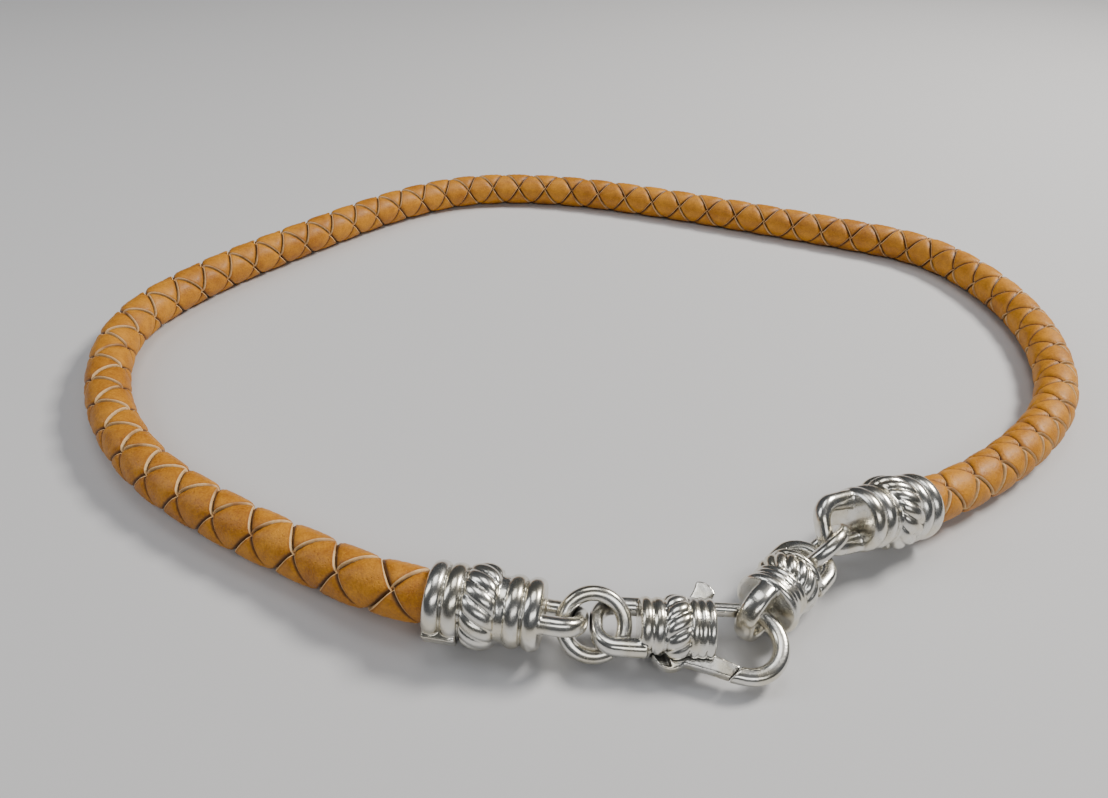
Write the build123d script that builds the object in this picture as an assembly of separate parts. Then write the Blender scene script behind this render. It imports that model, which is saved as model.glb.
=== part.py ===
from build123d import *
import os
from math import cos, pi, radians, sin, tan

# A braided leather cord necklace, closed at the front by a silver lever clasp.
# Millimetres. The origin is the middle of the loop, on the surface that the necklace lies on.
# The fittings are at -Y, +X is the side of the connector, and +Z is up.

# Leather cord
cord_diameter = 7.0
socket_depth = 5.0
socket_clearance = 0.1
left_lead_out = 5.0
right_lead_out = 5.9

# Middle of the cord's route, chosen by hand, from the left end cap round the back to the right one:
# x, y and the lift of the cord above the surface
cord_route = [
    (-38.5, -60.6, 0.0),
    (-53.0, -53.2, 0.0),
    (-69.5, -42.6, 0.0),
    (-82.5, -25.5, 0.0),
    (-88.0, -4.5, 0.0),
    (-79.5, 15.2, 0.0),
    (-65.3, 34.4, 0.0),
    (-49.5, 54.4, 0.0),
    (-32.5, 67.3, 0.0),
    (-10.5, 69.9, 0.0),
    (14.0, 65.2, 0.0),
    (38.5, 58.0, 0.0),
    (60.5, 51.1, 0.0),
    (72.8, 46.6, 0.0),
    (81.0, 37.6, 0.0),
    (86.2, 21.5, 0.0),
    (85.8, 3.5, 0.0),
    (79.5, -15.0, 0.0),
    (65.9, -29.9, 0.0),
]

# End caps, the same at both ends of the cord
cap_wall = 0.75
cap_bead_radius = 4.85
cap_bead_width = 2.3
cap_rope_radius = 5.3
cap_rope_width = 4.3
cap_rope_strands = 14
cap_neck_width = 0.8
cap_neck_radius = 3.9
cap_end_radius = 4.5
plaque_length = 4.2
plaque_width = 2.4
plaque_rise = 0.3
plaque_turn = 115.0

# Eyes of the end caps: flat closed loops
cap_eye_width = 7.8
left_eye_length = 5.5
right_eye_length = 6.7
cap_eye_bar = 1.8
cap_eye_height = 2.0
eye_corner = 3.0
left_eye_roll = 31.0
right_eye_roll = 49.0
left_cap_heading = -7.5
right_cap_heading = 210.7
right_cap_climb = 12.1

# Jump ring between the left cap and the clasp
ring_radius = 3.75
ring_wire = 1.75
ring_tilt = 48.0
ring_height = 4.3
ring_nearer = 0.0
ring_gap = 0.35
left_eye_nearer = 0.6
tip_gap = 0.2

# Jump ring between the connector and the right cap, standing on edge.
# The offsets run from the tip bar of the connector's loop to the ring's middle and to the cap's tip bar
link_radius = 3.81
link_wire = 1.75
link_heading = 51.8
link_lean = 29.1
link_offset = (0.41, -0.4, 1.26)
right_eye_offset = (0.15, 0.42)

# Clasp barrel
clasp_start = (3.4, -68.4)
clasp_core_radius = 3.4
clasp_bead_radius = 3.7
clasp_bead_width = 1.5
clasp_rope_radius = 4.25
clasp_rope_width = 3.0
clasp_rope_strands = 12
clasp_ring_radius = 3.95
clasp_ring_width = 1.0
clasp_eye_width = 8.0
clasp_eye_length = 6.05
clasp_eye_bar = 1.7
clasp_eye_height = 1.9

# Hook, in the clasp's own plane: x along the barrel, y across it
hook_roll = 14.0
hook_drop = 0.45
hook_radius = 5.05
hook_width = 1.75
hook_height = 1.7
hook_reach = 4.2
hook_shift = -1.2
hook_arm_width = 1.4
seam_slope = 46.0
seam_turn = 254.0
seam_gap = 0.18

# Lever that closes the hook, turning on a pin
pivot_inset = 4.2
pivot_shift = -0.6
lever_height = 1.35
lever_boss = 1.45
lever_open = 18.0
lever_clearance = 0.2
sweep_steps = 6
gate_root_width = 1.7
gate_tip_width = 1.85
gate_slope = 22.0
tail_radius = 2.3
tail_inset = 3.7
tail_shift = -2.9
tail_wall = 0.35
tail_floor = 0.4
tab_reach = 8.2
tab_neck = 1.95
tab_tip = 2.6
tab_heading = 55.0
pin_radius = 0.55
pin_clearance = 0.06

# Connector barrel, with the bail that the hook holds
connector_heading = 49.0
connector_core_radius = 3.5
disc_radius = 4.35
disc_width = 1.2
thin_bead_radius = 3.95
thin_bead_width = 0.8
connector_rope_radius = 4.3
connector_rope_width = 3.2
connector_rope_strands = 14
connector_eye_width = 8.4
connector_eye_length = 6.1
connector_eye_bar = 1.9
connector_eye_height = 1.9
connector_eye_corner = 4.0
disc_gap = 0.95
disc_shift = 1.25
disc_lift = 0.1
bail_gap = 1.25
bail_radius = 3.9
bail_corner = 3.8
bail_width = 2.1
bail_shift = 0.2
bail_thickness = 1.2

# Shared finishing sizes
rope_slant = 30.0
edge_round = 0.5
bead_round = 1.0
round_share = 0.45
strand_round_share = 0.9
root_depth = 0.8

# Worked out from the sizes above
cord_radius = cord_diameter / 2
bore_radius = cord_radius + socket_clearance
cap_core_radius = bore_radius + cap_wall
cap_floor = cap_rope_radius
clasp_floor = clasp_rope_radius
connector_floor = disc_radius + disc_lift


def level(heading):
    """Level unit vector at a heading in degrees from +X."""
    return Vector(cos(radians(heading)), sin(radians(heading)), 0)


def frame(origin, heading, climb=0.0):
    """Place whose x runs along the heading, climbing by an angle, and whose z is up."""
    return Plane(origin=origin, x_dir=level(heading), z_dir=(0, 0, 1)).location * Rot(Y=-climb)


def on_axis(radius, length, start):
    """Cylinder along x."""
    return Pos(start + length / 2, 0, 0) * Rot(Y=90) * Cylinder(radius, length)


def bead(radius, width, start):
    """Turned ring with a rounded rim, along x."""
    blank = Cylinder(radius, width)
    blank = fillet(blank.edges(), min(round_share * width, bead_round))
    return Pos(start + width / 2, 0, 0) * Rot(Y=90) * blank


def rope_band(radius, width, strands, slant, start):
    """Ring of slanting rounded strands side by side, like a twisted rope."""
    spread = 2 * pi * radius * cos(radians(slant)) / strands
    strand_radius = spread / (2 - spread / radius)
    length = width / cos(radians(slant))
    strand = fillet(Cylinder(strand_radius, length).edges(), strand_round_share * strand_radius)
    seat = Pos(start + width / 2, 0, radius - strand_radius)
    turns = [Rot(X=360 / strands * number) for number in range(strands)]
    return [turn * seat * Rot(Z=-slant) * Rot(Y=90) * strand for turn in turns]


def barrel(core_radius, rows):
    """Barrel along +x from rows of (form, radius, width, strands), as one solid."""
    pieces = []
    start = 0.0
    for form, radius, width, strands in rows:
        if form == "bead":
            pieces.append(bead(radius, width, start))
        if form == "rope":
            pieces += rope_band(radius, width, strands, rope_slant, start)
        if form == "mirrored rope":
            pieces += rope_band(radius, width, strands, -rope_slant, start)
        start += width
    return on_axis(core_radius, start, 0) + pieces


def rows_length(rows):
    """Length of a barrel made from these rows."""
    return sum(width for form, radius, width, strands in rows)


def eye(width, length, bar, height, corner):
    """Flat loop from x = 0 out to its length, with two legs that sink into a barrel."""
    outer = Pos((length - root_depth) / 2, 0) * Rectangle(length + root_depth, width)
    outer = fillet(outer.vertices().group_by(Axis.X)[-1], corner)
    opening = Pos((length - bar) / 2 - root_depth, 0) * Rectangle(length - bar + 2 * root_depth, width - 2 * bar)
    opening = fillet(opening.vertices().group_by(Axis.X)[-1], max(corner - bar, edge_round))
    plate = extrude(outer - opening, height / 2, both=True)
    rims = plate.edges().group_by(Axis.Z)
    return fillet(rims[0] + rims[-1], edge_round)


def plaque(turn):
    """Small bare plate on the two rings at the mouth of a cap."""
    depth = cap_bead_radius + plaque_rise - bore_radius - cap_wall / 2
    plate = Box(plaque_length, plaque_width, depth)
    plate = fillet(plate.edges().group_by(Axis.Z)[-1], plaque_rise / 2)
    outward = cap_bead_radius + plaque_rise - depth / 2
    return Rot(X=turn) * Pos(cap_bead_width, 0, outward) * plate


cap_rows = [
    ("bead", cap_bead_radius, cap_bead_width, 0),
    ("bead", cap_bead_radius, cap_bead_width, 0),
    ("rope", cap_rope_radius, cap_rope_width, cap_rope_strands),
    ("neck", cap_neck_radius, cap_neck_width, 0),
    ("bead", cap_end_radius, cap_bead_width, 0),
    ("bead", cap_end_radius, cap_bead_width, 0),
]
cap_length = rows_length(cap_rows)

clasp_rows = [
    ("bead", clasp_bead_radius, clasp_bead_width, 0),
    ("bead", clasp_bead_radius, clasp_bead_width, 0),
    ("mirrored rope", clasp_rope_radius, clasp_rope_width, clasp_rope_strands),
    ("bead", clasp_ring_radius, clasp_ring_width, 0),
    ("bead", clasp_ring_radius, clasp_ring_width, 0),
    ("bead", clasp_ring_radius, clasp_ring_width, 0),
]
clasp_length = rows_length(clasp_rows)

connector_rows = [
    ("bead", disc_radius, disc_width, 0),
    ("bead", thin_bead_radius, thin_bead_width, 0),
    ("bead", thin_bead_radius, thin_bead_width, 0),
    ("bead", thin_bead_radius, thin_bead_width, 0),
    ("mirrored rope", connector_rope_radius, connector_rope_width, connector_rope_strands),
    ("bead", thin_bead_radius, thin_bead_width, 0),
]
connector_length = rows_length(connector_rows)

# Places of the fittings along the front, each from its neighbour
clasp_eye_tip = clasp_start[0] - clasp_eye_length
left_tip_x = clasp_eye_tip - tip_gap
ring_inner = ring_radius - ring_wire / 2
ring_centre = Vector(left_tip_x + ring_inner - ring_gap - cap_eye_bar, clasp_start[1] - ring_nearer, ring_height)
left_tip = Vector(left_tip_x, ring_centre.Y - left_eye_nearer, cap_floor)
left_mouth = left_tip - level(left_cap_heading) * (cap_length + left_eye_length)

hook_centre_x = clasp_length + hook_reach
hook_centre = Vector(clasp_start[0] + hook_centre_x, clasp_start[1] + hook_shift * cos(radians(hook_roll)), 0)
beside = level(connector_heading + 90)
disc_centre = hook_centre + level(connector_heading) * (hook_radius + disc_gap) + beside * disc_shift
disc_centre = Vector(disc_centre.X, disc_centre.Y, connector_floor)

connector_tip = connector_length + connector_eye_length - connector_eye_bar / 2
connector_tip = disc_centre + level(connector_heading) * connector_tip
link_centre = connector_tip + Vector(*link_offset)

right_reach = cap_length + right_eye_length - cap_eye_bar / 2
right_way = level(right_cap_heading) * cos(radians(right_cap_climb)) + Vector(0, 0, sin(radians(right_cap_climb)))
right_mouth = connector_tip + Vector(*right_eye_offset) - right_way * right_reach
right_mouth = Vector(right_mouth.X, right_mouth.Y, cap_bead_radius * cos(radians(right_cap_climb)))


def end_cap(place, eye_length, eye_roll):
    """Cap glued on one end of the cord: ringed sleeve, rope band and eye."""
    cap = barrel(cap_neck_radius, cap_rows) + on_axis(cap_core_radius, 2 * cap_bead_width + cap_rope_width, 0)
    loop = eye(cap_eye_width, eye_length, cap_eye_bar, cap_eye_height, eye_corner)
    cap += Pos(cap_length, 0, 0) * Rot(X=eye_roll) * loop
    cap += plaque(plaque_turn)
    cap -= on_axis(bore_radius, socket_depth + root_depth, -root_depth)
    return place * cap


def jump_ring():
    """Ring that joins the left cap's eye to the clasp's eye."""
    tilt = radians(ring_tilt)
    plane = Plane(origin=ring_centre, x_dir=(1, 0, 0), z_dir=(0, -sin(tilt), cos(tilt)))
    return plane.location * Torus(ring_radius, ring_wire / 2)


def right_link():
    """Ring on edge that joins the connector's loop to the right cap's eye."""
    lean = radians(link_lean)
    facing = level(link_heading + 90) * cos(lean) + Vector(0, 0, sin(lean))
    plane = Plane(origin=link_centre, x_dir=level(link_heading), z_dir=facing)
    return plane.location * Torus(link_radius, link_wire / 2)


def turned_point(origin, heading, reach, aside):
    """Point at a reach along a heading from an origin, and aside to its left."""
    forward = level(heading)
    left = level(heading + 90)
    point = Vector(*origin) + forward * reach + left * aside
    return point.X, point.Y


def seam_line(offset):
    """Two far points of the slanting seam between hook and gate, moved along x by the offset."""
    inner = hook_radius - hook_width
    middle_x = hook_centre_x + inner * cos(radians(seam_turn)) + offset
    middle_y = hook_shift + inner * sin(radians(seam_turn))
    middle = (middle_x, middle_y)
    return turned_point(middle, seam_slope, hook_width, 0), turned_point(middle, seam_slope, -hook_radius, 0)


def hook_outline():
    """Hook: a straight arm from the barrel that turns most of a circle, to its slanting tip."""
    inner = hook_radius - hook_width
    band = Circle(hook_radius) - Circle(inner)
    seam_in, seam_out = seam_line(0)
    cut = Polygon(
        (hook_centre_x, hook_shift + 2 * hook_radius),
        (hook_centre_x, seam_in[1]),
        seam_in,
        seam_out,
        (0, seam_out[1]),
        (0, hook_shift + 2 * hook_radius),
        align=None,
    )
    top = hook_shift + hook_radius
    root = clasp_length - root_depth
    arm = Polygon(
        (root, top),
        (root, top - hook_arm_width),
        (hook_centre_x, top - hook_width),
        (hook_centre_x, top),
        align=None,
    )
    return Pos(hook_centre_x, hook_shift) * band - cut + arm


def gate_outline():
    """Gate: from the pivot's boss out to the seam, widening towards its tip."""
    inner = hook_radius - hook_width
    seam_in = (
        hook_centre_x + inner * cos(radians(seam_turn)) - seam_gap,
        hook_shift + inner * sin(radians(seam_turn)),
    )
    seam_out = turned_point(seam_in, 180 + seam_slope, gate_tip_width, 0)
    exit_x = clasp_length
    exit_y = seam_in[1] + (seam_in[0] - exit_x) * tan(radians(gate_slope))
    return Polygon(
        seam_in,
        (exit_x, exit_y),
        (pivot_inset, pivot_shift),
        (tail_inset, tail_shift - tail_radius / 2),
        (exit_x, exit_y - gate_root_width),
        seam_out,
        align=None,
    )


def tab_outline():
    """Thumb tab: a neck through the barrel that narrows beyond it."""
    pivot = (pivot_inset, pivot_shift)
    beyond = (clasp_ring_radius - pivot_shift) / sin(radians(tab_heading))
    return Polygon(
        turned_point(pivot, tab_heading, 0, tab_neck / 2),
        turned_point(pivot, tab_heading, 0, -tab_neck / 2),
        turned_point(pivot, tab_heading, beyond, -tab_neck / 2),
        turned_point(pivot, tab_heading, tab_reach, -tab_tip / 2),
        turned_point(pivot, tab_heading, tab_reach, tab_tip / 2),
        turned_point(pivot, tab_heading, beyond, tab_neck / 2),
        align=None,
    )


def lever_outline():
    """Whole lever in the hook's plane."""
    boss = Pos(pivot_inset, pivot_shift) * Circle(lever_boss)
    tail = Pos(tail_inset, tail_shift) * Circle(tail_radius)
    return boss + tail + gate_outline() + tab_outline()


def tail_pocket():
    """Hollow in the left half of the rounded tail, open at the top."""
    hollow = Pos(tail_inset, tail_shift) * Circle(tail_radius - tail_wall)
    hollow -= Pos(pivot_inset, pivot_shift) * Circle(lever_boss + tail_wall)
    hollow -= Pos(tail_inset + tail_radius, tail_shift) * Rectangle(2 * tail_radius, 2 * tail_radius)
    return Pos(0, 0, tail_floor - lever_height / 2) * extrude(hollow, lever_height)


def hook_plane():
    """Place of the hook's plane in the clasp."""
    return frame((*clasp_start, clasp_floor), 0) * Rot(X=hook_roll) * Pos(0, 0, -hook_drop)


def lever_room():
    """Space that the lever needs in the barrel, from closed to open."""
    swept = []
    for step in range(sweep_steps + 1):
        turn = Rot(Z=lever_open * step / sweep_steps)
        about = Pos(pivot_inset, pivot_shift) * turn * Pos(-pivot_inset, -pivot_shift)
        swept.append(about * offset(lever_outline(), lever_clearance, kind=Kind.INTERSECTION))
    room = swept[0] + swept[1:]
    return extrude(room, lever_height / 2 + lever_clearance, both=True)


def clasp_body():
    """Clasp barrel with its eye and its hook, cast as one."""
    home = frame((*clasp_start, clasp_floor), 0)
    body = barrel(clasp_core_radius, clasp_rows)
    loop = eye(clasp_eye_width, clasp_eye_length, clasp_eye_bar, clasp_eye_height, eye_corner)
    body += Rot(Z=180) * loop
    hook = extrude(hook_outline(), hook_height / 2, both=True)
    rims = hook.edges().group_by(Axis.Z)
    hook = fillet(rims[0] + rims[-1], edge_round)
    in_plane = Rot(X=hook_roll) * Pos(0, 0, -hook_drop)
    body += in_plane * hook
    body -= in_plane * lever_room()
    body -= in_plane * Pos(pivot_inset, pivot_shift) * Cylinder(pin_radius, 2 * (clasp_rope_radius + hook_drop))
    return home * body


def clasp_lever():
    """Lever: gate, boss with its pin hole and thumb tab."""
    lever = extrude(lever_outline(), lever_height / 2, both=True)
    lever -= tail_pocket()
    lever -= Pos(pivot_inset, pivot_shift) * Cylinder(pin_radius + pin_clearance, 2 * lever_height)
    return hook_plane() * lever


def lever_pin():
    """Pin riveted through the barrel, on which the lever turns."""
    length = 2 * clasp_core_radius - 2 * hook_drop
    return hook_plane() * Pos(pivot_inset, pivot_shift, hook_drop) * Cylinder(pin_radius, length)


def bail():
    """Upright half ring on the connector's disc, for the hook."""
    reach = disc_gap + hook_width + bail_gap + bail_thickness
    return Rot(Z=180) * Rot(X=90) * eye(2 * bail_radius, reach, bail_thickness, bail_width, bail_corner)


def connector():
    """Connector: disc with the bail, thin rings, rope band and round loop, cast as one."""
    body = barrel(connector_core_radius, connector_rows)
    loop = eye(
        connector_eye_width,
        connector_eye_length,
        connector_eye_bar,
        connector_eye_height,
        connector_eye_corner,
    )
    body += Pos(connector_length, 0, 0) * loop
    body += Pos(0, bail_shift, 0) * bail()
    return frame(disc_centre, connector_heading) * body


def cord_points():
    """All points of the cord's route, from socket floor to socket floor."""
    left_in = level(left_cap_heading)
    left_end = left_mouth + left_in * socket_depth
    right_end = right_mouth + right_way * socket_depth
    middle = [Vector(x, y, cord_radius + lift) for x, y, lift in cord_route]
    left_lead = left_mouth - left_in * left_lead_out
    right_lead = right_mouth - right_way * right_lead_out
    return [left_end, left_lead, *middle, right_lead, right_end]


def corner_radii(points):
    """Largest arc that the two runs at each corner allow."""
    radii = []
    for before, corner, after in zip(points, points[1:], points[2:]):
        turn = (corner - before).get_angle(after - corner)
        shorter = min((corner - before).length, (after - corner).length)
        radii.append(round_share * shorter / tan(radians(turn / 2)))
    return radii


def leather_cord():
    """Cord as a plain tube along its route of straight runs and arcs."""
    points = cord_points()
    radii = corner_radii(points)
    print("cord corner radii", [round(radius, 1) for radius in radii])
    print("cord ends", [tuple(round(value, 2) for value in point) for point in points[:2] + points[-2:]])
    path = FilletPolyline(*points, radius=radii)
    section = Plane(origin=path @ 0, z_dir=path % 0) * Circle(cord_radius)
    tube = sweep(section, path=path)
    print("cord length", round(path.length, 2))
    print("cord volume over section times length", round(tube.volume / (pi * cord_radius**2 * path.length), 5))
    return tube


left_place = frame(left_mouth, left_cap_heading)
right_place = frame(right_mouth, right_cap_heading, right_cap_climb)
nodes = {
    "leather_cord": leather_cord(),
    "left_end_cap": end_cap(left_place, left_eye_length, -left_eye_roll),
    "jump_ring": jump_ring(),
    "clasp_body": clasp_body(),
    "clasp_lever": clasp_lever(),
    "lever_pin": lever_pin(),
    "connector": connector(),
    "right_link": right_link(),
    "right_end_cap": end_cap(right_place, right_eye_length, -right_eye_roll),
}

os.makedirs("parts", exist_ok=True)
for name, solid in nodes.items():
    export_step(solid, f"parts/{name}.step")
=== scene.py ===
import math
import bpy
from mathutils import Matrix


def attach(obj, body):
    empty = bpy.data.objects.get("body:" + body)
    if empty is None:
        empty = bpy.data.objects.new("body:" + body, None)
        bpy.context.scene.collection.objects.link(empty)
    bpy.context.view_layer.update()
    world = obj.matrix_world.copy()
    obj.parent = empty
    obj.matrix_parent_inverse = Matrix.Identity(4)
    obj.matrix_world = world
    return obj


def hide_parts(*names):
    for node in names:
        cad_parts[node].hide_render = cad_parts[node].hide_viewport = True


bl_info = {
    "name": "Braided cord necklace",
    "version": (1, 0, 0),
    "blender": (4, 5, 0),
    "location": "3D View > Sidebar > Necklace",
    "description": "Dresses the packed necklace: braided leather, polished silver and a plain stage",
    "category": "Object",
}

import bmesh
import bpy
from bpy.props import FloatProperty, FloatVectorProperty, IntProperty, PointerProperty
from mathutils import Matrix, Vector

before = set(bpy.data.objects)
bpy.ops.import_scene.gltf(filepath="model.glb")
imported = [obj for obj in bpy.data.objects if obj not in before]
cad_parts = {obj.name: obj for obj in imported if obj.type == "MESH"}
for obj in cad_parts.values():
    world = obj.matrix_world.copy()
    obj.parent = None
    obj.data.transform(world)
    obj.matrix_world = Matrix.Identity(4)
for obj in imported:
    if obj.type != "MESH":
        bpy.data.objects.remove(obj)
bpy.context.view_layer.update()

MM = 0.001
ROOT_BODY = "necklace"
LEVER_BODY = "lever"

# The cord's route from the left cap's socket round to the right one, in millimetres as in the part's source.
# The two flat points beside the left cap lie up to 1 mm from the part's, and the flat stretch 0.06 mm higher
CORD_DIAMETER = 7.0 * MM
CORD_ROUTE = [
    (-17.52, -67.07, 5.3),
    (-27.44, -65.76, 5.3),
    (-38.5, -59.7, 3.56),
    (-53.0, -53.0, 3.56),
    (-69.5, -42.6, 3.56),
    (-82.5, -25.5, 3.56),
    (-88.0, -4.5, 3.56),
    (-79.5, 15.2, 3.56),
    (-65.3, 34.4, 3.56),
    (-49.5, 54.4, 3.56),
    (-32.5, 67.3, 3.56),
    (-10.5, 69.9, 3.56),
    (14.0, 65.2, 3.56),
    (38.5, 58.0, 3.56),
    (60.5, 51.1, 3.56),
    (72.8, 46.6, 3.56),
    (81.0, 37.6, 3.56),
    (86.2, 21.5, 3.56),
    (85.8, 3.5, 3.56),
    (79.5, -15.0, 3.56),
    (65.9, -29.9, 3.56),
    (49.97, -41.19, 3.51),
    (40.8, -46.64, 5.79),
]
ROUTE_STEPS = 24
# Lay of the braid: distance along the cord, turn about its middle in degrees and shift along it
BRAID_LAY = [
    (0, -39, 0.0),
    (6, -39, 0.0),
    (26, -39, 1.8),
    (55, -39, 1.8),
    (85, -36, 1.5),
    (105, -6, 1.0),
    (120, 4, 0.6),
    (150, -8, -0.3),
    (202, -28, -1.65),
    (272, -14, -1.65),
    (349, 2, -3.7),
    (362, 0, -4.2),
    (377, -14, -5.0),
    (392, -17, -7.1),
    (401, -18, -8.9),
    (426, -20, -8.9),
]

# Section of a strand. Back: places across it, in shares of its half width. Walls and underside: the same, and
# how deep each lies, in shares of its thickness
STRAND_BACK = (-1.0, -0.95, -0.8, -0.4, 0.0, 0.4, 0.8, 0.95, 1.0)
STRAND_WALLS = ((1.04, 0.12), (1.06, 0.7), (0.95, 1.0), (0.0, 1.0), (-0.95, 1.0), (-1.06, 0.7), (-1.04, 0.12))
WALL_FACES = 3
EDGE_WEAR = 0.05 * MM
WORN_FROM = 0.9
CORE_DEPTH = 1.45 * MM
CORE_STEPS = 420

# Places of the silver fittings, in millimetres and degrees: origin, heading and climb
PLACES = {
    "left_end_cap": ((-22.481, -66.416, 5.3), -7.5, 0.0),
    "clasp_body": ((3.4, -68.4, 4.25), 0.0, 0.0),
    "connector": ((19.593, -64.216, 4.45), 49.0, 0.0),
    "right_end_cap": ((45.007, -44.140, 4.742), 210.7, 12.1),
}
# Rows of each barrel: form, radius, width, strands
CAP_ROWS = [
    ("bead", 4.85, 2.3, 0),
    ("bead", 4.85, 2.3, 0),
    ("rope", 5.3, 4.3, 14),
    ("neck", 4.1, 0.8, 0),
    ("bead", 4.5, 2.3, 0),
    ("bead", 4.5, 2.3, 0),
]
CLASP_ROWS = [
    ("bead", 3.75, 1.5, 0),
    ("bead", 3.75, 1.5, 0),
    ("mirrored rope", 4.25, 3.0, 12),
    ("bead", 3.95, 1.0, 0),
    ("bead", 3.95, 1.0, 0),
    ("bead", 3.95, 1.0, 0),
]
CONNECTOR_ROWS = [
    ("bead", 4.35, 1.2, 0),
    ("bead", 3.95, 0.8, 0),
    ("bead", 3.95, 0.8, 0),
    ("bead", 3.95, 0.8, 0),
    ("mirrored rope", 4.3, 3.2, 14),
    ("bead", 3.95, 0.8, 0),
]
CLASP_GROOVE_SHARE = 0.85
# How far the edges of a bead and of a rope band curl in, as shares of the width, and a rope's slant
BEAD_CURL = 0.36
ROPE_CURL = 0.27
ROPE_SLANT = 30.0
STRAND_ROUNDNESS = 0.97
# A turned form starts and ends at this radius, so that its ends are closed
TIP_RADIUS = 0.02
BORE_RADIUS = 3.6
BORE_DEPTH = 5.0
ROOT_DEPTH = 0.8
# Eyes: swell is how much thicker the legs are than the bar. A cap's eye has its length, roll and swell
CAP_EYE = {"width": 7.8, "bar": 1.85, "height": 2.3, "corner": 3.3}
LEFT_EYE = (5.5, 31.0, 1.3)
RIGHT_EYE = (6.7, 49.0, 1.42)
CLASP_EYE = {"width": 8.0, "bar": 1.75, "height": 2.2, "corner": 3.3, "swell": 1.3}
CLASP_EYE_LENGTH = 6.05
CONNECTOR_EYE = {"width": 8.4, "bar": 1.9, "height": 1.95, "corner": 4.0, "swell": 1.2}
CONNECTOR_EYE_LENGTH = 6.1
BAIL = {"width": 7.9, "bar": 1.4, "height": 2.65, "corner": 3.9, "swell": 1.15}
BAIL_LENGTH = 5.25
BAIL_SHIFT = 0.2
PLAQUE_SIZE = (4.2, 2.4, 1.1)
PLAQUE_TURN = 115.0
PLAQUE_SEAT = (2.3, 5.15)
PLAQUE_EDGE = 0.25 * MM
# Rings: middle, heading of the ring's own x, tilt of its plane, place of its seam
RING_RADIUS = 3.78
RING_WIRE = 1.95
RING_SEAM = 0.12
RING_EDGE = 0.12 * MM
RING_STEPS = 120
RINGS = {
    "jump_ring": ((-2.125, -68.4, 4.3), 0.0, 48.0, -55.0),
    "right_link": ((28.365, -54.99, 5.71), 51.8, -60.9, 30.0),
}
# Hook and lever, in the hook's own plane
HOOK_ROLL = 14.0
HOOK_DROP = 0.45
HOOK_CENTRE = (13.2, -1.2)
HOOK_RADIUS = 5.05
HOOK_WIDTH = 1.75
HOOK_SWELL = (0.24, 0.14)
HOOK_HEIGHT = 2.0
ARM_WIDTH = 1.4
SEAM_SLOPE = 46.0
SEAM_TURN = 254.0
SEAM_GAP = 0.18
PIVOT = (4.2, -0.6)
TAIL = (3.7, -2.9)
TAIL_RADIUS = 2.3
TAIL_WALL = 0.32
TAIL_FLOOR = 0.4
PIN_HOLE = 0.6
BOSS_RADIUS = 1.45
TAB_HEADING = 55.0
GATE_ROOT = 2.25
GATE_TIP = 2.1
GATE_SLOPE = 22.0
LEVER_HEIGHT = 1.35
LEVER_OPEN = 18.0
LEVER_CLEARANCE = 0.17
LEVER_SOFTEN = 6
ROOM_VOXEL = 0.14 * MM
# Thumb tab, from the pivot outwards: reach and half width
TAB_SIDE = [
    (0.0, 0.97),
    (5.4, 0.97),
    (6.3, 1.03),
    (7.0, 1.18),
    (7.45, 1.36),
    (7.7, 1.36),
    (7.95, 1.2),
    (8.2, 0.8),
    (8.3, 0.4),
]

# Lights: name, place, size, share of the lights' strength, colour
LIGHTS = [
    ("key_light", (0.38, 0.16, 0.44), (0.16, 0.14), 2.0, (1.0, 0.96, 0.90)),
    ("left_light", (-0.46, -0.05, 0.36), (0.16, 0.36), 0.36, (0.95, 0.97, 1.0)),
    ("front_light", (0.12, -0.48, 0.42), (0.50, 0.16), 0.42, (1.0, 1.0, 1.0)),
    ("top_light", (-0.05, 0.12, 0.70), (0.34, 0.30), 0.50, (1.0, 1.0, 1.0)),
]
ROOM_COLOR = (0.62, 0.66, 0.72, 1.0)
ROOM_STRENGTH = 0.10
SENSOR_WIDTH = 36.0
NEAREST_SEEN = 0.005
FLOOR_SIZE = 4.0


# Settings


class BraidSettings(bpy.types.PropertyGroup):
    """Sizes and colours of the braided leather."""

    pitch: FloatProperty(
        name="Pitch", description="Length of cord in which a strand goes round once",
        default=13.8 * MM, unit="LENGTH",
    )
    start: FloatProperty(
        name="Start", description="Shift of the crossings along the cord", default=-1.7 * MM, unit="LENGTH",
    )
    turn: FloatProperty(
        name="Turn", description="Turn of the whole braid, added to its own twist",
        default=0.0, subtype="ANGLE",
    )
    fullness: FloatProperty(
        name="Fullness", description="How far the braid swells beyond the cord's nominal radius",
        default=0.06 * MM, unit="LENGTH", precision=6,
    )
    fill: FloatProperty(
        name="Fill", description="Share of its lane that a strand fills", default=0.895, min=0.5, max=1.0,
    )
    lift: FloatProperty(
        name="Lift", description="How far a strand rises and dips as it goes over and under",
        default=0.50 * MM, unit="LENGTH",
    )
    crispness: FloatProperty(
        name="Crispness", description="How steeply a strand goes from over to under",
        default=3.8, min=0.5, max=8.0,
    )
    crown: FloatProperty(
        name="Crown", description="Height of a strand's rounded back over its edges",
        default=0.13 * MM, unit="LENGTH",
    )
    thickness: FloatProperty(
        name="Thickness", description="Thickness of one strand", default=1.0 * MM, unit="LENGTH",
    )
    samples: IntProperty(
        name="Samples", description="Sections along each crossing of two strands",
        default=11, min=3, max=14,
    )
    light: FloatVectorProperty(
        name="Light leather", description="Colour of the strands' rubbed backs", subtype="COLOR",
        default=(0.68, 0.285, 0.015),
    )
    dark: FloatVectorProperty(
        name="Dark leather", description="Colour of the deeper leather", subtype="COLOR",
        default=(0.24, 0.062, 0.004),
    )
    cut: FloatVectorProperty(
        name="Cut edge", description="Colour of the raw cut edges", subtype="COLOR",
        default=(0.84, 0.60, 0.32),
    )


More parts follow.
